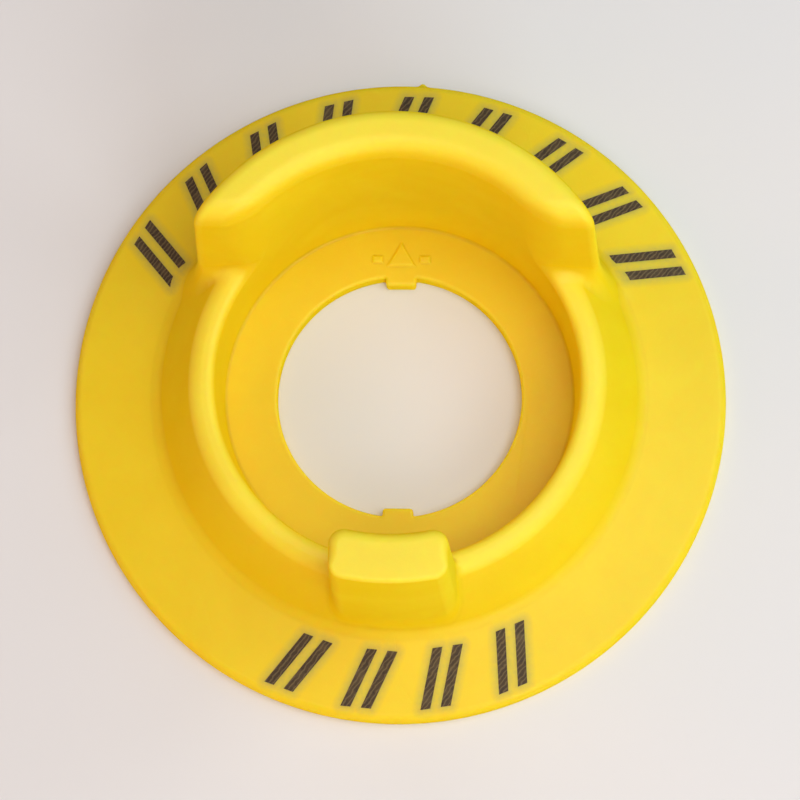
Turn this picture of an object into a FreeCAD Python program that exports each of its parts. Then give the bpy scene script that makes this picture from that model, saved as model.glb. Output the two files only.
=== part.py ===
import FreeCAD, Part
import math
import os

# Emergency stop guard: a one-piece yellow moulding that fits between a control panel and the
# bezel of a 22 mm push button. A legend flange, a conical collar with a bowl inside, a high hood
# at the top and a post at the bottom keep a sleeve or a hand from pressing the button by accident.
# Frame: origin on the hole axis in the back (panel) face, +Z out of the panel, +Y towards the hood,
# +X to the right of someone facing the panel. Millimetres, degrees.

# ---------------------------------------------------------------- driving dimensions
FLANGE_R = 30.0          # outer radius of the legend flange
FLANGE_EDGE = 1.60       # flange height at its outer edge
EDGE_R_TOP = 0.75        # round on the flange's top outer edge
EDGE_R_BACK = 0.25       # round on the flange's back outer edge

HOLE_R = 22.5 / 2        # hole for a 22 mm operator barrel
FLOOR_Z = 1.80           # top of the bowl floor, where the operator's bezel seats
HOLE_EDGE_R = 0.25       # round on the hole's front edge
HOLE_CHAMFER = 0.20      # chamfer on the hole's back edge

BOWL_R_FLOOR = 16.10     # bowl wall radius at the floor
BOWL_R_RIM = 16.40       # bowl wall radius at the rim
BOWL_FILLET = 0.30       # fillet between floor and bowl wall

COLLAR_FOOT_R = 22.10    # cone radius where it meets the flange
COLLAR_FOOT_Z = 3.00     # height of that crease
COLLAR_FOOT_FILLET = 0.50
COLLAR_RIM_R = 18.85     # cone radius just under the rim's outer round ...
COLLAR_RIM_DROP = 0.90   # ... taken this far below the rim
RIM_Z = 9.60             # top of the collar rim
RIM_ROUND_OUT = 1.00     # outer round of the rim
RIM_ROUND_IN = 0.70      # inner round of the rim

HOOD_Z = 25.30           # crest of the hood
HOOD_R_CREST = 20.18     # hood outer radius at the crest
HOOD_R_FOOT = 21.49      # hood outer radius where it sinks into the cone
HOOD_FOOT_Z = 3.50
HOOD_R_IN_CREST = 16.20  # hood inner wall radius at the crest: nearly upright from the floor
HOOD_IN_ROUND = 1.80     # round along the crest's inner edge, down the end faces' inner edges too
HOOD_OUT_ROUND = 0.80    # the same along the outer edge
HOOD_END_Y = 10.10       # the hood stops at this vertical plane
HOOD_END_ROUND = 2.20    # round from the crest over to the end face
HOOD_START = 20.0        # the blank starts here and is trimmed at the end plane
HOOD_GUSSET_R = 1.50     # concave round from the end face to the rim
GUSSET_SINK = 0.30       # gusset overlap into the hood
GUSSET_BASE_Z = RIM_Z - 1.4

POST_Z = 25.30           # top of the post
POST_W_TOP = 10.00       # width at the top
POST_W_BASE = 11.20      # width at the flange
POST_R_OUT_TOP = 20.80
POST_R_OUT_BASE = 21.30  # just inside the collar's foot
POST_R_IN_TOP = 16.55
POST_R_IN_BASE = BOWL_R_FLOOR + 0.1
POST_CORNER_R = 1.70     # rounds on the two upright inner corners
POST_EDGE_R = 1.00       # the same on the two outer ones
POST_TOP_ROUND = 0.80
SUNK_Z = 1.0             # hood and post start here, buried in the body

KEY_W = 2.80             # anti-rotation keys, at 12 and 6 o'clock
KEY_TIP_R = 10.45
KEY_ROOT_R = HOLE_R + 0.6
KEY_TOP_Z = FLOOR_Z - 0.15
KEY_CORNER_R = 0.30

GATE_ANGLE = 86.6        # moulding gate vestige on the flange edge, from +X
GATE_LEN = 0.40
GATE_W = 0.90            # width at the root
GATE_ROOT_R = FLANGE_R - 0.3
GATE_TIP = (0.12, 0.22)  # tangential span of the tip
GATE_Z = (0.30, 1.00)

ARROW_RAISE = 0.12       # raised "this way up" mark on the bowl floor
ARROW_SINK = 0.30        # overlap into the floor
ARROW_Y = (12.35, 14.50)
ARROW_HALF_W = 1.25
DASH_X = (1.75, 2.65)    # a dash on either side of the arrow
DASH_Y = (12.65, 13.25)

MARK_DEPTH = 0.08        # legend marks: sunk this deep ...
MARK_PROUD = 0.02        # ... and standing this proud of the flange
MARK_STROKE = 0.85       # stroke width
MARK_PAIR = 1.85         # pitch of the two strokes of one mark
MARK_SLANT = 20.0
MARK_BAND = (COLLAR_FOOT_R + 0.4, FLANGE_R - 0.9)  # radial span of the flange that takes marks
# name: (angles from +X, (inner, outer) radius of the strokes)
MARK_GROUPS = {
    "upper_legend_marks": ([28.6 + 15.11 * i for i in range(9)], (23.20, 28.70)),
    "lower_legend_marks": ([250.5 + 14.32 * i for i in range(4)], (23.60, 28.85)),
}

CORE_R_IN = 18.00        # moulding core under the collar, open at the back
CORE_R_OUT = 20.40
CORE_SHOULDER_Z = 1.60   # the outer side slopes inwards from here
CORE_TOP_Z = 6.40
CORE_TIP_W = 0.70
RIB_COUNT = 8            # ribs left standing across the collar and hood cores
RIB_W = 1.20

# deeper cores under hood and post: (inner, outer) radius at the back and at the top
DEEP_CORE_BACK_Z = -0.5
HOOD_CORE_BACK = (CORE_R_IN - 0.10, CORE_R_IN + 1.60)
HOOD_CORE_TOP = (CORE_R_IN + 0.20, CORE_R_IN + 1.05)
HOOD_CORE_TOP_Z = 18.00
HOOD_CORE_START = 38.0   # angle from +X, mirrored on the other side
POST_CORE_BACK = (CORE_R_IN + 0.05, CORE_R_IN + 2.10)
POST_CORE_TOP = (CORE_R_IN + 0.30, CORE_R_IN + 1.00)
POST_CORE_TOP_Z = 18.00
POST_CORE_START, POST_CORE_SWEEP = 250.0, 40.0
POST_CORE_W = 5.60       # width the post core is trimmed to

# ---------------------------------------------------------------- helpers
V = FreeCAD.Vector
ORIGIN = V(0, 0, 0)
Z_AXIS = V(0, 0, 1)
ARC_MID = 1.0 - math.sqrt(0.5)   # inset of a quarter arc's middle from its tangents, per radius


def profile(items, place):
    """Closed face from 2D points and ("arc", middle, end) items, set in space by place(u, v)."""
    edges = []
    last = items[0]
    for item in items[1:]:
        if item[0] == "arc":
            _, middle, end = item
            edges.append(Part.Arc(place(*last), place(*middle), place(*end)).toShape())
        else:
            end = item
            edges.append(Part.makeLine(place(*last), place(*end)))
        last = end
    edges.append(Part.makeLine(place(*last), place(*items[0])))
    return Part.Face(Part.Wire(edges))


def turned(items, start=0.0, sweep=360.0):
    """(r, z) profile turned about the Z axis from the start angle."""
    a = math.radians(start)
    face = profile(items, lambda r, z: V(r * math.cos(a), r * math.sin(a), z))
    return face.revolve(ORIGIN, Z_AXIS, sweep)


def bar(items, half_length):
    """(y, z) profile run along X, centred on the YZ plane."""
    face = profile(items, lambda y, z: V(-half_length, y, z))
    return face.extrude(V(2 * half_length, 0, 0))


def corner(before, tip, after, radius):
    """First tangent point, middle and last tangent point of a round at the corner tip."""
    ax, az = before[0] - tip[0], before[1] - tip[1]
    bx, bz = after[0] - tip[0], after[1] - tip[1]
    a_len, b_len = math.hypot(ax, az), math.hypot(bx, bz)
    ax, az, bx, bz = ax / a_len, az / a_len, bx / b_len, bz / b_len
    half = math.acos(max(-1.0, min(1.0, ax * bx + az * bz))) / 2.0
    tangent = radius / math.tan(half)
    inset = (radius / math.sin(half) - radius) / math.hypot(ax + bx, az + bz)
    return ((tip[0] + ax * tangent, tip[1] + az * tangent),
            (tip[0] + (ax + bx) * inset, tip[1] + (az + bz) * inset),
            (tip[0] + bx * tangent, tip[1] + bz * tangent))


def rounded(points):
    """Profile items from (r, z) or (r, z, round) points, with the rounds put in."""
    items = []
    for i, point in enumerate(points):
        if len(point) == 3:
            after = points[(i + 1) % len(points)]
            start, middle, end = corner(points[i - 1][:2], point[:2], after[:2], point[2])
            items += [start, ("arc", middle, end)]
        else:
            items.append(point)
    return items


def box(x0, x1, y0, y1, z0, z1):
    return Part.makeBox(x1 - x0, y1 - y0, z1 - z0, V(x0, y0, z0))


def prism(points, z0, z1):
    corners = [V(x, y, z0) for x, y in points]
    return Part.Face(Part.makePolygon(corners + [corners[0]])).extrude(V(0, 0, z1 - z0))


def polar(r, t, angle):
    """(x, y) of the point r out along the angle and t across it, counter-clockwise."""
    c, s = math.cos(math.radians(angle)), math.sin(math.radians(angle))
    return (r * c - t * s, r * s + t * c)


def one_solid(shape):
    shape = shape.removeSplitter()
    if len(shape.Solids) != 1:
        raise RuntimeError("expected one solid, got %d" % len(shape.Solids))
    return shape.Solids[0]


def edge_mid(edge):
    return edge.valueAt((edge.FirstParameter + edge.LastParameter) / 2.0)


def upright_edges(shape, min_rise, y_test):
    """Edges rising more than min_rise whose middle passes the test on y."""
    return [e for e in shape.Edges
            if abs(e.Vertexes[0].Point.z - e.Vertexes[-1].Point.z) > min_rise
            and y_test(edge_mid(e).y)]


# ---------------------------------------------------------------- flange, collar and bowl
def make_body():
    cone_slope = (COLLAR_FOOT_R - COLLAR_RIM_R) / (RIM_Z - COLLAR_RIM_DROP - COLLAR_FOOT_Z)
    cone_top_r = COLLAR_RIM_R - cone_slope * COLLAR_RIM_DROP   # cone carried up to the rim plane
    return turned(rounded([
        (HOLE_R + HOLE_CHAMFER, 0.0),
        (FLANGE_R, 0.0, EDGE_R_BACK),
        (FLANGE_R, FLANGE_EDGE, EDGE_R_TOP),
        (COLLAR_FOOT_R, COLLAR_FOOT_Z, COLLAR_FOOT_FILLET),
        (cone_top_r, RIM_Z, RIM_ROUND_OUT),
        (BOWL_R_RIM, RIM_Z, RIM_ROUND_IN),
        (BOWL_R_FLOOR, FLOOR_Z, BOWL_FILLET),
        (HOLE_R, FLOOR_Z, HOLE_EDGE_R),
        (HOLE_R, HOLE_CHAMFER),
    ]))


# ---------------------------------------------------------------- hood
def crest_edges(hood, radius):
    """Crest edge over the middle of the hood, near the given radius."""
    found = []
    for edge in hood.Edges:
        m = edge_mid(edge)
        if (abs(m.z - HOOD_Z) < 1e-3 and abs(m.x) < 6.0
                and radius - 0.5 < math.hypot(m.x, m.y) < radius + 0.5):
            found.append(edge)
    return found


def make_hood():
    blank = turned([
        (BOWL_R_FLOOR + 0.25, SUNK_Z),
        (HOOD_R_FOOT, SUNK_Z),
        (HOOD_R_FOOT, HOOD_FOOT_Z),
        (HOOD_R_CREST, HOOD_Z),
        (HOOD_R_IN_CREST, HOOD_Z),
        (BOWL_R_FLOOR + 0.03, 2.4),
    ], HOOD_START, 180.0 - 2 * HOOD_START)
    # keep what lies beyond the end plane, under a round that turns the crest into the end face
    inset = HOOD_END_ROUND * ARC_MID
    round_end_y = HOOD_END_Y + HOOD_END_ROUND
    keep = bar([
        (HOOD_END_Y, -1),
        (HOOD_END_Y, HOOD_Z - HOOD_END_ROUND),
        ("arc", (HOOD_END_Y + inset, HOOD_Z - inset), (round_end_y, HOOD_Z)),
        (round_end_y, HOOD_Z + 5),
        (60, HOOD_Z + 5),
        (60, -1),
    ], 40)
    hood = one_solid(blank.common(keep))
    # each round runs along the crest, over the horns and down the end faces' upright edges
    hood = hood.makeFillet(HOOD_IN_ROUND, crest_edges(hood, HOOD_R_IN_CREST))
    hood = hood.makeFillet(HOOD_OUT_ROUND, crest_edges(hood, HOOD_R_CREST))
    return one_solid(hood)


def make_gussets():
    """Concave rounds from the hood's end faces down to the rim."""
    inset = HOOD_GUSSET_R * ARC_MID
    toe_y = HOOD_END_Y - HOOD_GUSSET_R
    across = bar([
        (HOOD_END_Y + GUSSET_SINK, GUSSET_BASE_Z),
        (HOOD_END_Y + GUSSET_SINK, RIM_Z + HOOD_GUSSET_R),
        (HOOD_END_Y, RIM_Z + HOOD_GUSSET_R),
        ("arc", (HOOD_END_Y - inset, RIM_Z + inset), (toe_y, RIM_Z)),
        (toe_y, GUSSET_BASE_Z),
    ], 30)
    inner_r = BOWL_R_RIM + 0.55
    ring = turned([(inner_r, RIM_Z - 1.5), (COLLAR_RIM_R + 0.1, RIM_Z - 1.5),
                   (COLLAR_RIM_R - 0.55, RIM_Z + 3.0), (inner_r, RIM_Z + 3.0)])
    return across.common(ring).Solids


# ---------------------------------------------------------------- post
def post_wire(width, r_in, r_out, z):
    """Section between two arcs about the hole axis, with straight sides."""
    h = width / 2.0
    y_out = -math.sqrt(r_out ** 2 - h * h)
    y_in = -math.sqrt(r_in ** 2 - h * h)
    out_left, out_right = V(-h, y_out, z), V(h, y_out, z)
    in_right, in_left = V(h, y_in, z), V(-h, y_in, z)
    return Part.Wire([
        Part.Arc(out_left, V(0, -r_out, z), out_right).toShape(),
        Part.makeLine(out_right, in_right),
        Part.Arc(in_right, V(0, -r_in, z), in_left).toShape(),
        Part.makeLine(in_left, out_left),
    ])


def make_post():
    def when_sunk(base, top):
        """Carry the taper, set between the collar's foot and the post top, down to SUNK_Z."""
        return base + (top - base) * (SUNK_Z - COLLAR_FOOT_Z) / (POST_Z - COLLAR_FOOT_Z)

    post = Part.makeLoft([
        post_wire(when_sunk(POST_W_BASE, POST_W_TOP), when_sunk(POST_R_IN_BASE, POST_R_IN_TOP),
                  when_sunk(POST_R_OUT_BASE, POST_R_OUT_TOP), SUNK_Z),
        post_wire(POST_W_TOP, POST_R_IN_TOP, POST_R_OUT_TOP, POST_Z),
    ], True, True)
    middle_y = -(POST_R_IN_TOP + POST_R_OUT_TOP) / 2.0
    post = post.makeFillet(POST_CORNER_R, upright_edges(post, 10, lambda y: y > middle_y))
    post = post.makeFillet(POST_EDGE_R, upright_edges(post, 10, lambda y: y < middle_y))
    top_edges = [e for e in post.Edges
                 if all(abs(v.Point.z - POST_Z) < 1e-3 for v in e.Vertexes)
                 and abs(edge_mid(e).z - POST_Z) < 1e-3]
    return one_solid(post.makeFillet(POST_TOP_ROUND, top_edges))


# ---------------------------------------------------------------- small features
def make_key(turn):
    key = box(-KEY_W / 2, KEY_W / 2, KEY_TIP_R, KEY_ROOT_R, 0.0, KEY_TOP_Z)
    tip_edges = upright_edges(key, 1, lambda y: y < KEY_TIP_R + 0.1)
    key = key.makeFillet(KEY_CORNER_R, tip_edges)
    key.rotate(ORIGIN, Z_AXIS, turn)
    return key


def make_gate():
    tip_r = FLANGE_R + GATE_LEN
    outline = [(GATE_ROOT_R, -GATE_W / 2), (tip_r, GATE_TIP[0]),
               (tip_r, GATE_TIP[1]), (GATE_ROOT_R, GATE_W / 2)]
    return prism([polar(r, t, GATE_ANGLE) for r, t in outline], *GATE_Z)


def make_floor_mark():
    """Arrow pointing to the hood, with a dash to its right and one to its left."""
    z0, z1 = FLOOR_Z - ARROW_SINK, FLOOR_Z + ARROW_RAISE
    arrow = prism([(-ARROW_HALF_W, ARROW_Y[0]), (ARROW_HALF_W, ARROW_Y[0]), (0.0, ARROW_Y[1])],
                  z0, z1)
    near, far = DASH_X
    return [arrow] + [box(x0, x1, *DASH_Y, z0, z1) for x0, x1 in ((near, far), (-far, -near))]


# ---------------------------------------------------------------- moulding cores
def cut_ribs(core, core_top_z):
    for i in range(RIB_COUNT):
        rib = box(CORE_R_IN - 1.0, CORE_R_OUT + 1.0, -RIB_W / 2, RIB_W / 2, -2.0, core_top_z + 1)
        rib.rotate(ORIGIN, Z_AXIS, 360.0 * (i + 0.5) / RIB_COUNT)
        core = core.cut(rib)
    return core


def make_ring_core():
    core = turned([
        (CORE_R_IN, -1.0), (CORE_R_OUT, -1.0), (CORE_R_OUT, CORE_SHOULDER_Z),
        (CORE_R_IN + CORE_TIP_W, CORE_TOP_Z), (CORE_R_IN, CORE_TOP_Z),
    ])
    return cut_ribs(core, CORE_TOP_Z)


def deep_core(back, top, top_z, start, sweep):
    return turned([(back[0], DEEP_CORE_BACK_Z), (back[1], DEEP_CORE_BACK_Z),
                   (top[1], top_z), (top[0], top_z)], start, sweep)


def make_hood_core():
    core = deep_core(HOOD_CORE_BACK, HOOD_CORE_TOP, HOOD_CORE_TOP_Z,
                     HOOD_CORE_START, 180.0 - 2 * HOOD_CORE_START)
    return cut_ribs(core, HOOD_CORE_TOP_Z)


def make_post_core():
    core = deep_core(POST_CORE_BACK, POST_CORE_TOP, POST_CORE_TOP_Z,
                     POST_CORE_START, POST_CORE_SWEEP)
    return core.common(box(-POST_CORE_W / 2, POST_CORE_W / 2, -30, 0, -2, 40))


# ---------------------------------------------------------------- legend marks
# Thirteen generic marks, nine over the hood and four under the post. Each is a pair of slanted
# strokes on the conical flange, filling a shallow pocket of its own outline.
def flange_z(r):
    """Flange top: a shallow cone from the collar's foot down to the outer edge."""
    slope = (COLLAR_FOOT_Z - FLANGE_EDGE) / (FLANGE_R - COLLAR_FOOT_R)
    return COLLAR_FOOT_Z - slope * (r - COLLAR_FOOT_R)


def flange_shell(low, high):
    """Ring between two heights measured from the flange top."""
    r0, r1 = MARK_BAND
    return turned([(r0, flange_z(r0) + low), (r1, flange_z(r1) + low),
                   (r1, flange_z(r1) + high), (r0, flange_z(r0) + high)])


def stroke(angle, span, offset):
    """Upright prism over one stroke. Seen from the front, strokes on both arcs lean right."""
    r0, r1 = span
    slant = math.radians(MARK_SLANT)
    lean = -(r1 - r0) / 2.0 * math.tan(slant)
    half_w = MARK_STROKE / 2.0 / math.cos(slant)
    outline = [(r0, offset - lean - half_w), (r1, offset + lean - half_w),
               (r1, offset + lean + half_w), (r0, offset - lean + half_w)]
    return prism([polar(r, t, angle) for r, t in outline], 0.5, 5.0)


def inlay_marks(guard, angles, span):
    """Cut the pockets of one group; return the guard and the compound of its marks."""
    pocket_shell = flange_shell(-MARK_DEPTH, 1.0)
    mark_shell = flange_shell(-MARK_DEPTH, MARK_PROUD)
    solids = []
    for angle in angles:
        for offset in (-MARK_PAIR / 2, MARK_PAIR / 2):
            column = stroke(angle, span, offset)
            guard = guard.cut(column.common(pocket_shell))
            solids += column.common(mark_shell).Solids
    return guard, Part.makeCompound(solids)


# ---------------------------------------------------------------- assembly and output
guard = make_body().fuse([make_hood(), make_post()] + make_gussets()
                         + [make_key(0), make_key(180), make_gate()] + make_floor_mark())
guard = one_solid(guard)
for core in (make_ring_core(), make_hood_core(), make_post_core()):
    guard = guard.cut(core)
guard = one_solid(guard)

pieces = {}
for name, (angles, span) in MARK_GROUPS.items():
    guard, pieces[name] = inlay_marks(guard, angles, span)
pieces["guard_body"] = one_solid(guard)

os.makedirs("parts", exist_ok=True)
for name, shape in pieces.items():
    shape.exportStep("parts/%s.step" % name)
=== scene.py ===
"""A moulded yellow guard: a round flange and a collar about a floor with a keyed hole.

The guard's axis is Z and its back lies on z = 0. The tall hood stands on the +Y side and
the tapered post on the -Y side; dark legend marks lie on the flange. The moulding is
worked out in millimetres and built in metres.
"""
import math

import bpy
import numpy as np
from mathutils import Matrix, Vector
from mathutils.bvhtree import BVHTree


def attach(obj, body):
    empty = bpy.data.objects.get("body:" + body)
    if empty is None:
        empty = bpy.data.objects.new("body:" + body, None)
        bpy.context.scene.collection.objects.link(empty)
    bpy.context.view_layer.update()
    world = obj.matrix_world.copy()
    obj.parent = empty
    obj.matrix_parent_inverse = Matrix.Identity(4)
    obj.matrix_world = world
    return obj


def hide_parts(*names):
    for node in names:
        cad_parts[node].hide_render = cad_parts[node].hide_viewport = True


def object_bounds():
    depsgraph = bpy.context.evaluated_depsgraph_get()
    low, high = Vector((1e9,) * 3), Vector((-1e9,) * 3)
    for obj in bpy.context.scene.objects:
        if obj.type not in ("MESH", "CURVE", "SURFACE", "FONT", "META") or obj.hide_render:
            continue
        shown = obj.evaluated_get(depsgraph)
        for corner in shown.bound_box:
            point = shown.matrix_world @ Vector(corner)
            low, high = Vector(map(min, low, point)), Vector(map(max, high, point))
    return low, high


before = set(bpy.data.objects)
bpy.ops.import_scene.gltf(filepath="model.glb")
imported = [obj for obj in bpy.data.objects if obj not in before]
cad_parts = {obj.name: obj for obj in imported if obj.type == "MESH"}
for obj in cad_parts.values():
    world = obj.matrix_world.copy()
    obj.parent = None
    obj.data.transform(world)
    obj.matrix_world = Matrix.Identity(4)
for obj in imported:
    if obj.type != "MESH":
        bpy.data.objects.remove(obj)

cad_low, cad_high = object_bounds()

# Driving dimensions, in mm. Profile points are (radius, z).
MM_PER_M = 1000.0
FLANGE_R = 30.0
FLANGE_EDGE = (FLANGE_R, 1.6)
COLLAR_FOOT = (22.1, 3.0)
COLLAR_TOP = (18.85, 8.7)
RIM_Z = 9.6
FLOOR_Z = 1.8
CREST_Z = 25.3              # top of the hood and of the post
HOOD_FOOT = (21.49, 3.5)
HOOD_CREST = (20.18, CREST_Z)
HOOD_END_Y = 10.10
OUTER_BAND = (18.4, 20.4)   # radii over which edges change from inner to outer rounding
TALL_CORE_Z = 18.0          # depth of the cores under the hood and the post
CORE_ROUND = 0.2


# ---------------------------------------------------------------------------
# Distance field of the guard: negative inside the plastic, in mm
# ---------------------------------------------------------------------------
def meet(a, b, radius):
    """Intersection with a round along the edge."""
    return (np.minimum(-radius, np.maximum(a, b))
            + np.hypot(np.maximum(a + radius, 0), np.maximum(b + radius, 0)))


def join(a, b, fillet):
    """Union with a fillet along the crease."""
    return (np.maximum(fillet, np.minimum(a, b))
            - np.hypot(np.maximum(fillet - a, 0), np.maximum(fillet - b, 0)))


def ramp(value, start, end):
    """Smooth step from 0 at start to 1 at end."""
    t = np.clip((value - start) / (end - start), 0.0, 1.0)
    return t * t * (3.0 - 2.0 * t)


def outside_line(r, z, start, end):
    """Distance to the right of the line start -> end in the (r, z) plane."""
    dr, dz = end[0] - start[0], end[1] - start[1]
    return ((r - start[0]) * dz - (z - start[1]) * dr) / math.hypot(dr, dz)


def floor_height(x, y):
    """Floor with a raised arrow pointing to +Y and a dash on either side of it."""
    base_y, tip_y, half_base = 12.35, 14.5, 1.25
    dash_x, dash_y, dash_half_x, dash_half_y = 2.2, 12.95, 0.45, 0.30
    mark_height, soft_edge = 0.13, 0.12
    side_length = math.hypot(tip_y - base_y, half_base)
    side = (np.abs(x) * (tip_y - base_y) + (y - tip_y) * half_base) / side_length
    arrow = np.maximum(side, base_y - y)
    dash = np.maximum(np.abs(np.abs(x) - dash_x) - dash_half_x, np.abs(y - dash_y) - dash_half_y)
    outside = ramp(np.minimum(arrow, dash), -soft_edge, soft_edge)
    return FLOOR_Z + mark_height * (1.0 - outside) * (y > 0)


def shell(y, r, z):
    """Conical flange, collar and hood, solid through the middle."""
    flange = meet(outside_line(r, z, FLANGE_EDGE, COLLAR_FOOT), r - FLANGE_R, radius=0.75)
    collar = meet(outside_line(r, z, COLLAR_FOOT, COLLAR_TOP), z - RIM_Z, radius=0.8)
    crest = meet(HOOD_END_Y - y, z - CREST_Z, radius=2.2)
    hood = meet(outside_line(r, z, HOOD_FOOT, HOOD_CREST), crest, radius=1.0)
    # the hood's ends flow into the collar with a wider sweep on the outside
    sweep = 1.5 + ramp(r, *OUTER_BAND) * (1.0 - ramp(y, 11.0, 14.5))
    body = join(join(flange, collar, fillet=0.6), hood, fillet=sweep)
    return meet(body, -z, radius=0.25)


def bowl(x, y, r, z):
    """Hollow above the floor: it flares in the collar and stays near upright in the hood."""
    collar_r, collar_flare = 16.10, 0.30
    hood_r, hood_flare = 16.12, 0.08
    low = collar_r + collar_flare * np.clip((z - FLOOR_Z) / (RIM_Z - FLOOR_Z), -1.0, 1.2)
    tall = hood_r + hood_flare * (z - FLOOR_Z) / (CREST_Z - FLOOR_Z)
    hood_share = np.maximum(ramp(y, 8.6, 11.6), ramp(z, RIM_Z, 11.6))
    wall_r = low + (tall - low) * hood_share
    return meet(r - wall_r, floor_height(x, y) - z, radius=0.28)


def hole(x, y, r):
    """Centre hole with a key reaching in at +Y and at -Y."""
    hole_r, key_half_width, key_reach = 11.25, 1.4, 10.45
    key = meet(np.abs(x) - key_half_width, key_reach - np.abs(y), radius=0.3)
    return meet(r - hole_r, -key, radius=0.15)


def post(x, y, r, z):
    """Block on the -Y side that narrows and thins as it rises."""
    taper_z, bottom_z, inner_y = 3.0, 1.0, -10.0
    climb = (z - taper_z) / (CREST_Z - taper_z)
    half_width = 5.60 - 0.60 * climb
    inner_r = 16.22 + 0.33 * climb
    outer_r = 21.30 - 0.50 * climb
    block = meet(np.abs(x) - half_width, inner_r - r, radius=1.7)
    block = meet(block, r - outer_r, radius=1.0)
    block = meet(block, z - CREST_Z, radius=0.85 - 0.50 * ramp(r, *OUTER_BAND))
    return np.maximum(np.maximum(block, y - inner_y), bottom_z - z)


def gate_nub(x, y, z):
    """Small pointed nub on the flange edge near +Y."""
    azimuth = math.radians(86.6)
    tip, root, centre_z, half_thick = 0.42, 0.4, 0.65, 0.35
    side_slope, tip_slope = 0.66, 0.75
    outward = x * math.cos(azimuth) + y * math.sin(azimuth) - FLANGE_R
    across = -x * math.sin(azimuth) + y * math.cos(azimuth)
    wedge = np.maximum(np.abs(across) * side_slope + (outward - tip) * tip_slope,
                       -outward - root)
    return meet(wedge, np.abs(z - centre_z) - half_thick, radius=0.1)


def cores(x, y, r, z):
    """Hollows in the back: a low ring and a tall arc split by ribs, and a slot in the post."""
    ring_inner_r, ring_outer_r, ring_z = 18.0, 20.4, 6.4
    slope_foot, slope_top = (ring_outer_r, 1.6), (18.7, ring_z)
    rib_count, rib_half_thick, no_rib = 8, 0.6, 99.0
    arc_end_y, slot_half_width = 12.2, 2.8

    ring = meet(ring_inner_r - r, outside_line(r, z, slope_foot, slope_top), CORE_ROUND)
    ring = meet(meet(ring, r - ring_outer_r, CORE_ROUND), z - ring_z, CORE_ROUND)
    arc = meet(17.90 + 0.017 * z - r, r - (19.60 - 0.03 * z), CORE_ROUND)
    arc = meet(arc, z - TALL_CORE_Z, CORE_ROUND)
    arc = meet(arc, arc_end_y - y, CORE_ROUND)

    rib = np.full_like(r, no_rib)
    pitch = 360.0 / rib_count
    for k in range(rib_count):
        angle = math.radians(pitch / 2 + pitch * k)
        across = np.abs(-x * math.sin(angle) + y * math.cos(angle))
        along = x * math.cos(angle) + y * math.sin(angle)
        rib = np.minimum(rib, np.where(along > 0, across, no_rib))
    ribbed = meet(np.minimum(ring, arc), rib_half_thick - rib, CORE_ROUND)

    slot = meet(18.1 + 0.012 * z - r, r - (20.05 - 0.06 * z), CORE_ROUND)
    slot = meet(slot, np.abs(x) - slot_half_width, CORE_ROUND)
    slot = np.maximum(meet(slot, z - TALL_CORE_Z, CORE_ROUND), y)
    return np.minimum(ribbed, slot)


def guard_field(x, y, z):
    r = np.hypot(x, y)
    body = shell(y, r, z)
    # the bowl's edge is rounder up on the hood than on the rim
    body = meet(body, -bowl(x, y, r, z), radius=0.7 + 1.1 * ramp(z, 9.8, 16.0))
    body = meet(body, -hole(x, y, r), radius=0.25)
    # the post's fillet is tight inside the bowl and grows through the wall
    post_fillet = 0.05 + 0.65 * np.clip((r - 16.9) / 0.9, 0.0, 1.0)
    body = join(body, post(x, y, r, z), fillet=post_fillet)
    body = join(body, gate_nub(x, y, z), fillet=0.12)
    return meet(body, -cores(x, y, r, z), CORE_ROUND)


# ---------------------------------------------------------------------------
# Skinning the field with quads on a cylindrical grid
# ---------------------------------------------------------------------------
def grid_lines(stops):
    """Grid lines from (start, step) pairs; the last pair is (end, 0)."""
    lines = []
    for (start, step), (end, _) in zip(stops[:-1], stops[1:]):
        count = max(1, int(round((end - start) / step)))
        lines += [start + (end - start) * i / count for i in range(count)]
    return np.array(lines + [stops[-1][0]])


# (start, step) in mm, in mm and in degrees; finer where the shape has edges
R_LINES = grid_lines([
    (10.1, 0.17), (11.9, 0.30), (12.2, 0.15), (14.7, 0.30), (15.6, 0.26), (17.0, 0.34),
    (19.3, 0.26), (20.9, 0.30), (22.9, 0.62), (28.8, 0.20), (30.8, 0)])
Z_LINES = grid_lines([
    (-0.26, 0.17), (2.5, 0.25), (3.6, 0.55), (8.0, 0.24), (10.9, 0.85), (22.8, 0.24), (25.7, 0)])
ANGLE_LINES = np.radians(grid_lines([
    (0.0, 0.9), (27.0, 0.5), (46.0, 0.9), (76.0, 0.5), (104.0, 0.9), (134.0, 0.5),
    (153.0, 0.9), (252.5, 0.45), (259.0, 0.6), (281.0, 0.45), (287.5, 0.9), (360.0, 0)]))[:-1]

# The four cells round a grid edge along r, angle and z, as (r, angle, z) index offsets
CELLS_ROUND_EDGE = (
    ((0, -1, -1), (0, 0, -1), (0, 0, 0), (0, -1, 0)),
    ((-1, 0, -1), (0, 0, -1), (0, 0, 0), (-1, 0, 0)),
    ((-1, -1, 0), (0, -1, 0), (0, 0, 0), (-1, 0, 0)),
)


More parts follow.
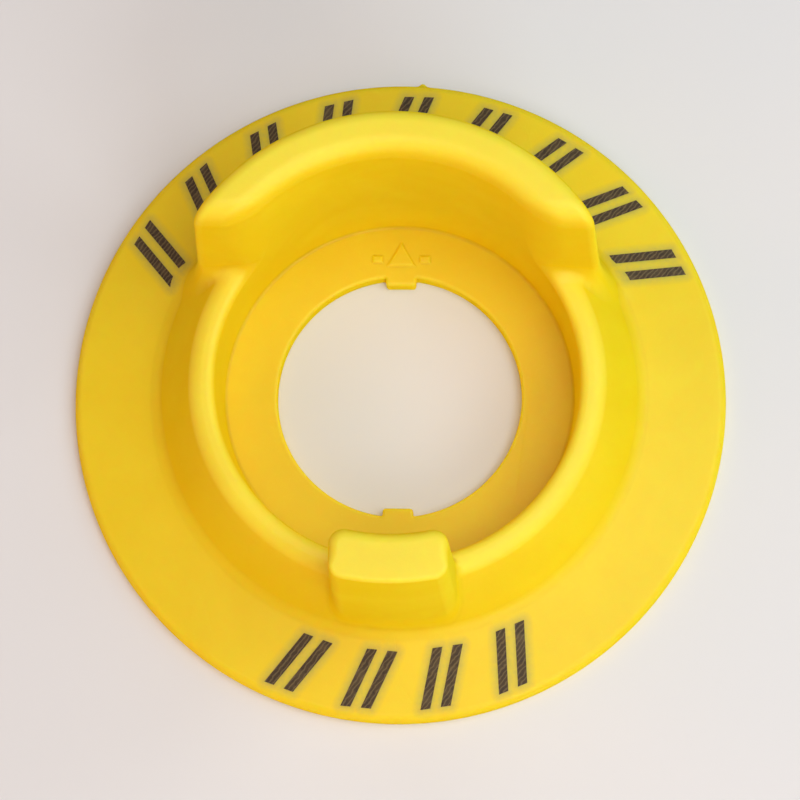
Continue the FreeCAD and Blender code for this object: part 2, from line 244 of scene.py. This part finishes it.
def skin(field):
    """Surface nets on the cylindrical grid: (vertices in mm, quads)."""
    n_r, n_angle, n_z = len(R_LINES), len(ANGLE_LINES), len(Z_LINES)
    rr, aa, zz = np.meshgrid(R_LINES, ANGLE_LINES, Z_LINES, indexing="ij")
    points = np.stack([rr * np.cos(aa), rr * np.sin(aa), zz], -1)
    values = field(points[..., 0], points[..., 1], points[..., 2])
    inside = values < 0

    def close_turn(grid):
        return np.concatenate([grid, grid[:, :1]], 1)

    closed_values, closed_inside = close_turn(values), close_turn(inside)
    closed_points = close_turn(points)

    # each cell's vertex is the mean of the crossings on its twelve edges
    cell_shape = (n_r - 1, n_angle, n_z - 1)
    total = np.zeros(cell_shape + (3,))
    count = np.zeros(cell_shape)
    first, last, every = slice(None, -1), slice(1, None), slice(None)
    for axis in range(3):
        lower, upper = [every] * 3, [every] * 3
        lower[axis], upper[axis] = first, last
        lower, upper = tuple(lower), tuple(upper)
        value_a, value_b = closed_values[lower], closed_values[upper]
        crossed = closed_inside[lower] != closed_inside[upper]
        share = np.where(crossed, value_a / np.where(crossed, value_a - value_b, 1.0), 0.0)
        share = share[..., None]
        crossing = closed_points[lower] * (1 - share) + closed_points[upper] * share
        crossing = np.where(crossed[..., None], crossing, 0.0)
        for a in (first, last):
            for b in (first, last):
                side = [a, b]
                side.insert(axis, every)
                total += crossing[tuple(side)]
                count += crossed[tuple(side)]
    live = count > 0
    ids = np.full(cell_shape, -1, np.int64)
    ids[live] = np.arange(live.sum())
    vertices = total[live] / count[live][:, None]

    def cell_ids(i, j, k):
        within = (i >= 0) & (i < n_r - 1) & (k >= 0) & (k < n_z - 1)
        found = np.full(i.shape, -1, np.int64)
        found[within] = ids[i[within], j[within] % n_angle, k[within]]
        return found

    # one quad per sign change, wound so that it faces out of the plastic
    ends = ((inside[:-1], inside[1:]),
            (inside, np.roll(inside, -1, 1)),
            (inside[:, :, :-1], inside[:, :, 1:]))
    faces = []
    for (start, end), offsets, flip in zip(ends, CELLS_ROUND_EDGE, (False, True, False)):
        i, j, k = np.nonzero(start != end)
        quad = np.stack([cell_ids(i + di, j + dj, k + dk) for di, dj, dk in offsets], 1)
        whole = np.all(quad >= 0, 1)
        forward = start[i, j, k][whole] ^ flip
        quad = quad[whole]
        faces += [quad[forward], quad[~forward][:, ::-1]]
    return vertices, np.concatenate(faces)


def axis_steps(step):
    return np.eye(3) * step


def gradient(field, points, step=0.01):
    slopes = np.empty_like(points)
    for axis, d in enumerate(axis_steps(step)):
        slopes[:, axis] = (field(*(points + d).T) - field(*(points - d).T)) / (2 * step)
    return slopes


def unit_gradient(field, points):
    slopes = gradient(field, points)
    return slopes / np.linalg.norm(slopes, axis=1)[:, None]


def settle(field, points, turns):
    """Moves points onto the surface along the gradient."""
    longest_move, least_slope = 0.2, 0.25
    for _ in range(turns):
        slopes = gradient(field, points)
        steepness = np.maximum((slopes * slopes).sum(1), least_slope)[:, None]
        move = field(*points.T)[:, None] * slopes / steepness
        points = points - np.clip(move, -longest_move, longest_move)
    return points


def relax(field, points, quads, turns):
    """Evens the quads out along the surface without leaving it."""
    share_of_move = 0.35
    pairs = np.concatenate([quads[:, [i, (i + 1) % 4]] for i in range(4)])
    a, b = pairs[:, 0], pairs[:, 1]
    n = len(points)
    degree = np.bincount(a, minlength=n) + np.bincount(b, minlength=n)
    for _ in range(turns):
        mean = np.stack([np.bincount(a, points[b, axis], n) + np.bincount(b, points[a, axis], n)
                         for axis in range(3)], 1) / degree[:, None]
        normal = unit_gradient(field, points)
        move = mean - points
        move -= (move * normal).sum(1)[:, None] * normal
        points = settle(field, points + share_of_move * move, turns=1)
    return points


def curvature(field, points, step):
    """Convex above zero, concave below, in 1/mm."""
    total = -6.0 * field(*points.T)
    for d in axis_steps(step):
        total = total + field(*(points + d).T) + field(*(points - d).T)
    return total / (step * step)


# ---------------------------------------------------------------------------
# The guard's mesh and the attributes its material reads
# ---------------------------------------------------------------------------
LEGENDS = ("upper_legend_marks", "lower_legend_marks")


def mark_distance(vertices, radii, normals):
    """Distance in mm from the flange's top to the nearest legend mark."""
    far, reach_m = 9.0, 0.002
    distance = np.full(len(vertices), far, np.float32)
    on_flange = np.nonzero((radii > 22.3) & (radii < 29.9) & (normals[:, 2] > 0.5))[0]
    for name in LEGENDS:
        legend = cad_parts[name].data
        tree = BVHTree.FromPolygons([v.co.copy() for v in legend.vertices],
                                    [tuple(p.vertices) for p in legend.polygons])
        for i in on_flange:
            found = tree.find_nearest(Vector(vertices[i] / MM_PER_M), reach_m)[3]
            if found is not None:
                distance[i] = min(distance[i], found * MM_PER_M)
    return distance


def painted_top_light_level(vertices, radii, normals):
    """Painted top light on upward faces: crest and post top most, then the rim, then the flange.
    """
    z = vertices[:, 2]
    flange_or_floor = np.where(radii > 21.0, 0.16, 0.0)
    level = np.where(z > 20.0, 1.0, np.where(z > 8.0, 0.90, flange_or_floor))
    return level * ramp(normals[:, 2], 0.45, 0.98)


def store(mesh, name, values):
    attribute = mesh.attributes.new(name, "FLOAT", "POINT")
    attribute.data.foreach_set("value", values.astype(np.float32))


def build_guard():
    vertices, quads = skin(guard_field)
    vertices = settle(guard_field, vertices, turns=4)
    vertices = relax(guard_field, vertices, quads, turns=2)
    vertices = settle(guard_field, vertices, turns=2)
    normals = unit_gradient(guard_field, vertices)

    mesh = bpy.data.meshes.new("guard_moulding")
    mesh.from_pydata((vertices / MM_PER_M).tolist(), [], quads.tolist())
    mesh.validate()
    mesh.update()
    obj = bpy.data.objects.new("guard_moulding", mesh)
    bpy.context.scene.collection.objects.link(obj)
    mesh.polygons.foreach_set("use_smooth", [True] * len(mesh.polygons))
    mesh.normals_split_custom_set_from_vertices(normals.tolist())

    radii = np.hypot(vertices[:, 0], vertices[:, 1])
    store(mesh, "edge", np.clip(curvature(guard_field, vertices, step=0.12), -3.0, 3.0))
    store(mesh, "near_mark", mark_distance(vertices, radii, normals))
    # painted top light on upward faces, stored for the material
    store(mesh, "painted_top_light", painted_top_light_level(vertices, radii, normals))
    return obj


guard = build_guard()
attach(guard, "root")
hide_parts("guard_body")


# ---------------------------------------------------------------------------
# Materials
# ---------------------------------------------------------------------------
class Nodes:
    """A material's node tree; inputs take either a value or another node's output."""

    def __init__(self, name):
        self.material = bpy.data.materials.new(name)
        self.material.use_nodes = True
        self.tree = self.material.node_tree
        self.tree.nodes.clear()

    def add(self, kind, inputs={}, **settings):
        node = self.tree.nodes.new("ShaderNode" + kind)
        for name, value in settings.items():
            setattr(node, name, value)
        for key, value in inputs.items():
            if isinstance(value, bpy.types.NodeSocket):
                self.tree.links.new(value, node.inputs[key])
            else:
                node.inputs[key].default_value = value
        return node

    def coord(self):
        return self.add("TexCoord").outputs["Object"]

    def attribute(self, name):
        return self.add("Attribute", attribute_name=name).outputs["Fac"]

    def noise(self, vector, scale, detail=2.0, rough=0.5, distortion=0.0):
        return self.add("TexNoise", {
            "Scale": scale, "Detail": detail, "Roughness": rough,
            "Distortion": distortion, "Vector": vector}).outputs["Fac"]

    def remap(self, value, span, to=(0.0, 1.0)):
        inputs = dict(enumerate((value, *span, *to)))
        return self.add("MapRange", inputs).outputs[0]

    def math(self, operation, a, b):
        return self.add("Math", {0: a, 1: b}, operation=operation).outputs[0]

    def mix(self, factor, a, b):
        return self.add("Mix", {0: factor, 6: a, 7: b}, data_type="RGBA").outputs[2]

    def bump(self, height, distance, strength, under=None):
        inputs = {"Strength": strength, "Distance": distance, "Height": height}
        if under is not None:
            inputs["Normal"] = under
        return self.add("Bump", inputs).outputs["Normal"]

    def finish(self, inputs):
        shader = self.add("BsdfPrincipled", inputs)
        self.add("OutputMaterial", {"Surface": shader.outputs[0]})
        return self.material


def yellow_plastic():
    m = Nodes("yellow_plastic_satin")
    coord = m.coord()
    deep, warm = (0.856, 0.634, 0.009, 1), (0.882, 0.678, 0.014, 1)
    cloudy, speckled = (0.865, 0.625, 0.008, 1), (0.925, 0.750, 0.050, 1)
    # the first colour on the next line is the paler edge colour: partly wear, partly a painted
    # highlight
    # the second colour on the next line is the painted top light on upward faces
    rubbed_highlit, lemon = (0.935, 0.780, 0.055, 1), (0.960, 0.815, 0.064, 1)
    # the first colour on the next line is the painted shade for the creases
    crease_shade_orange, scorched = (0.620, 0.400, 0.006, 1), (0.500, 0.430, 0.110, 1)

    # masterbatch swirl, faint cloudiness and fine speckle
    swirl = m.noise(coord, scale=90.0, detail=3.0, rough=0.55, distortion=0.8)
    cloud = m.noise(coord, scale=320.0)
    speck = m.noise(coord, scale=5200.0, detail=1.0)
    base = m.mix(m.remap(swirl, span=(0.35, 0.68)), deep, warm)
    base = m.mix(m.remap(cloud, span=(0.40, 0.72), to=(0.0, 0.35)), base, cloudy)
    base = m.mix(m.remap(speck, span=(0.62, 0.80), to=(0.0, 0.22)), base, speckled)

    # paler convex edges, partly from wear and partly a painted highlight, broken up so that they
    # are not an even line
    edge = m.attribute("edge")
    broken = m.noise(coord, scale=1500.0, detail=3.0, rough=0.6)
    broken = m.remap(broken, span=(0.30, 0.70), to=(0.35, 1.0))
    worn_and_highlit = m.math("MULTIPLY", m.remap(edge, span=(0.35, 2.4), to=(0.0, 0.45)), broken)
    base = m.mix(worn_and_highlit, base, rubbed_highlit)

    # painted top light: upward faces a shade paler and yellower, brighter where light falls from
    # above
    painted_top_light = m.attribute("painted_top_light")
    uneven = m.remap(swirl, span=(0.30, 0.70), to=(0.75, 1.0))
    base = m.mix(m.math("MULTIPLY", painted_top_light, uneven), base, lemon)

    # painted shade: concave creases darkened to a deeper orange
    crease = m.remap(edge, span=(-0.60, -2.6), to=(0.0, 0.30))
    painted_crease_shade = m.math("MULTIPLY", crease, m.remap(cloud, span=(0.3, 0.7), to=(0.4, 1.0)))
    base = m.mix(painted_crease_shade, base, crease_shade_orange)

    # grey-green scorch round each laser mark
    halo = m.remap(m.attribute("near_mark"), span=(0.85, 0.02), to=(0.0, 0.75))
    patchy = m.noise(coord, scale=2600.0, detail=3.0, rough=0.6)
    patchy = m.remap(patchy, span=(0.2, 0.8), to=(0.45, 1.0))
    base = m.mix(m.math("MULTIPLY", halo, patchy), base, scorched)

    # fine spark-eroded grain, shallow flow waves, a few hairline handling marks
    grain = m.noise(coord, scale=9000.0, rough=0.6)
    pits = m.noise(coord, scale=3600.0)
    waves = m.noise(coord, scale=260.0, detail=1.0, rough=0.4)
    stretched = m.add("Mapping", {
        "Scale": (1.0, 0.18, 1.0), "Rotation": (0.2, 0.3, 0.7), "Vector": coord})
    hair = m.add("TexVoronoi", {"Scale": 210.0, "Vector": stretched.outputs[0]},
                 feature="DISTANCE_TO_EDGE")
    lines = m.remap(hair.outputs["Distance"], span=(0.0, 0.012), to=(1.0, 0.0))
    areas = m.remap(m.noise(coord, scale=140.0), span=(0.55, 0.68))
    hairline = m.math("MULTIPLY", lines, areas)

    # edges under the wear and painted highlight mask are smoother, hairlines rougher
    rough = m.remap(pits, span=(0.25, 0.75), to=(0.36, 0.47))
    rough = m.math("ADD", rough, m.remap(swirl, span=(0.3, 0.7), to=(-0.02, 0.03)))
    rough = m.math("SUBTRACT", rough, m.math("MULTIPLY", worn_and_highlit, 0.12))
    rough = m.math("ADD", rough, m.math("MULTIPLY", hairline, 0.10))

    normal = m.bump(waves, distance=0.00006, strength=0.35)
    normal = m.bump(pits, distance=0.000012, strength=0.6, under=normal)
    normal = m.bump(grain, distance=0.000006, strength=0.6, under=normal)
    scratch = m.math("MULTIPLY", hairline, -1.0)
    normal = m.bump(scratch, distance=0.00001, strength=0.7, under=normal)

    # the fine grain scatters the sheen away where the surface turns edge on
    facing = m.add("LayerWeight", {"Blend": 0.5}).outputs["Facing"]
    return m.finish({
        "Subsurface Weight": 0.60,
        "Subsurface Radius": (1.0, 0.50, 0.08),
        "Subsurface Scale": 0.0016,
        "IOR": 1.49,
        "Specular IOR Level": m.remap(facing, span=(0.10, 0.58), to=(0.26, 0.0)),
        "Base Color": base,
        "Roughness": rough,
        "Normal": normal})


def laser_mark():
    m = Nodes("laser_darkened_mark")
    coord = m.coord()
    char, brown = (0.028, 0.018, 0.010, 1), (0.085, 0.055, 0.026, 1)
    line_tan, patch_tan = (0.200, 0.145, 0.060, 1), (0.190, 0.150, 0.070, 1)

    # overlapping passes of the beam: fine parallel lines, slightly wavy
    turned = m.add("Mapping", {"Rotation": (0.0, 0.0, math.radians(38.0)), "Vector": coord})
    lines = m.add("TexWave", {
        "Scale": 880.0, "Distortion": 4.0, "Detail": 2.0, "Detail Scale": 1.6,
        "Vector": turned.outputs[0]}, wave_type="BANDS", bands_direction="X").outputs["Fac"]
    soot = m.noise(coord, scale=2400.0, detail=4.0, rough=0.65)
    patch = m.noise(coord, scale=620.0)
    colour = m.mix(m.remap(soot, span=(0.30, 0.72)), char, brown)
    colour = m.mix(m.remap(lines, span=(0.50, 1.0), to=(0.0, 0.60)), colour, line_tan)
    colour = m.mix(m.remap(patch, span=(0.52, 0.75), to=(0.0, 0.30)), colour, patch_tan)
    normal = m.bump(lines, distance=0.00001, strength=0.6)
    return m.finish({
        "Base Color": colour,
        "Roughness": m.remap(soot, span=(0.25, 0.75), to=(0.55, 0.80)),
        "Normal": m.bump(soot, distance=0.00001, strength=0.6, under=normal),
        "Specular IOR Level": 0.35})


def pale_floor():
    m = Nodes("pale_floor")
    coord = m.coord()
    grey, pale_grey = (0.775, 0.795, 0.805, 1), (0.800, 0.820, 0.830, 1)
    unlit = (0.02, 0.02, 0.02, 1)
    tone = m.noise(coord, scale=6.0, detail=3.0)
    colour = m.mix(m.remap(tone, span=(0.3, 0.7)), grey, pale_grey)
    # beyond the reach of the lamps, glow takes over so that the floor stays evenly pale
    away = m.add("VectorMath", {0: coord}, operation="LENGTH").outputs["Value"]
    far = m.remap(away, span=(0.15, 0.42), to=(0.0, 0.90))
    return m.finish({
        "Roughness": 0.75,
        "Specular IOR Level": 0.2,
        "Base Color": m.mix(far, colour, unlit),
        "Emission Color": (1.0, 0.995, 0.985, 1),
        "Emission Strength": m.remap(away, span=(0.12, 0.50), to=(0.0, 0.70))})


def wear(obj, material):
    obj.data.materials.clear()
    obj.data.materials.append(material)


yellow, mark, pale = yellow_plastic(), laser_mark(), pale_floor()
wear(guard, yellow)
for name, material in (("guard_body", yellow), *((legend, mark) for legend in LEGENDS)):
    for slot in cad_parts[name].material_slots:
        slot.material = material

# ---------------------------------------------------------------------------
# Floor, world, lights and camera, in metres
# ---------------------------------------------------------------------------
scene = bpy.context.scene
FLOOR_HALF = 3.0
FLOOR_GAP = 0.00003     # keeps the floor clear of the guard's back
LIGHT_AIM = Vector((0, 0, 0.008))


def build_floor():
    h = FLOOR_HALF
    mesh = bpy.data.meshes.new("floor")
    mesh.from_pydata([(-h, -h, 0), (h, -h, 0), (h, h, 0), (-h, h, 0)], [], [(0, 1, 2, 3)])
    floor = bpy.data.objects.new("floor", mesh)
    floor.location = (0, 0, cad_low.z - FLOOR_GAP)
    scene.collection.objects.link(floor)
    wear(floor, pale)


def build_world():
    """Dim, even room light, with a backdrop that the camera sees as pale as the floor."""
    world = bpy.data.worlds.new("studio")
    world.use_nodes = True
    nodes, links = world.node_tree.nodes, world.node_tree.links
    room = nodes["Background"]
    room.inputs["Color"].default_value = (0.93, 0.95, 1.0, 1)
    room.inputs["Strength"].default_value = 0.10
    backdrop = nodes.new("ShaderNodeBackground")
    backdrop.inputs["Color"].default_value = (0.985, 0.985, 0.98, 1)
    backdrop.inputs["Strength"].default_value = 0.72
    path = nodes.new("ShaderNodeLightPath")
    choose = nodes.new("ShaderNodeMixShader")
    output = next(n for n in nodes if n.type == "OUTPUT_WORLD")
    links.new(path.outputs["Is Camera Ray"], choose.inputs[0])
    links.new(room.outputs[0], choose.inputs[1])
    links.new(backdrop.outputs[0], choose.inputs[2])
    links.new(choose.outputs[0], output.inputs["Surface"])
    scene.world = world


def soft_box(name, azimuth, elevation, power, colour, distance, size):
    """A round diffuser that faces the object; azimuth runs from +X towards +Y."""
    a, e = math.radians(azimuth), math.radians(elevation)
    direction = Vector((math.cos(a) * math.cos(e), math.sin(a) * math.cos(e), math.sin(e)))
    place = direction * distance
    light = bpy.data.lights.new(name, "AREA")
    light.shape = "DISK"
    light.size = size
    light.energy = power
    light.color = colour
    lamp = bpy.data.objects.new(name, light)
    lamp.location = place
    lamp.rotation_mode = "QUATERNION"
    lamp.rotation_quaternion = (LIGHT_AIM - place).to_track_quat("-Z", "Y")
    scene.collection.objects.link(lamp)


def build_camera():
    """A long lens above the guard, leaning to -Y and a little to +X, aimed at the origin."""
    turn, tilt, roll = math.radians(10.0), math.radians(10.5), math.radians(0.8)
    distance, shift_right, shift_down = 0.2747, 0.0000739899, 0.00721402
    back = Vector((math.sin(turn) * math.sin(tilt), -math.cos(turn) * math.sin(tilt),
                   math.cos(tilt)))
    level_right = Vector((0, 1, 0)).cross(back).normalized()
    level_up = back.cross(level_right)
    right = math.cos(roll) * level_right + math.sin(roll) * level_up
    up = -math.sin(roll) * level_right + math.cos(roll) * level_up

    data = bpy.data.cameras.new("camera")
    data.sensor_width = 36.0
    data.lens = 133.656
    data.clip_start = 0.01
    data.clip_end = 20.0
    camera = bpy.data.objects.new("camera", data)
    scene.collection.objects.link(camera)
    spot = back * distance + right * shift_right - up * shift_down
    z_axis = spot.normalized()
    x_axis = up.cross(z_axis).normalized()
    y_axis = z_axis.cross(x_axis)
    turned = Matrix((x_axis, y_axis, z_axis)).transposed().to_4x4()
    camera.matrix_world = Matrix.Translation(spot) @ turned
    scene.camera = camera


build_floor()
build_world()
scene.view_settings.view_transform = "Standard"
scene.view_settings.exposure = 0.0
scene.cycles.diffuse_bounces = 8

COOL = (0.98, 0.99, 1.0)
# name, azimuth and elevation in degrees, power in W, colour, distance and size in m
for row in (
    ("key_right", 8, 41, 0.365, COOL, 0.34, 0.28),
    ("key_low_right", 300, 36, 1.12, COOL, 0.65, 0.36),
    ("fill_low_left", 222, 25, 0.60, (1.0, 0.42, 0.16), 0.65, 0.36),
    ("fill_front", 270, 16, 0.68, (1.0, 0.44, 0.16), 0.65, 0.36),
    ("fill_left", 172, 18, 0.72, (1.0, 0.36, 0.13), 0.65, 0.36),
    ("fill_back", 100, 50, 0.22, (1.0, 0.92, 0.82), 0.65, 0.36),
    ("overhead", 330, 79, 0.95, COOL, 0.45, 0.36),
):
    soft_box(*row)

build_camera()
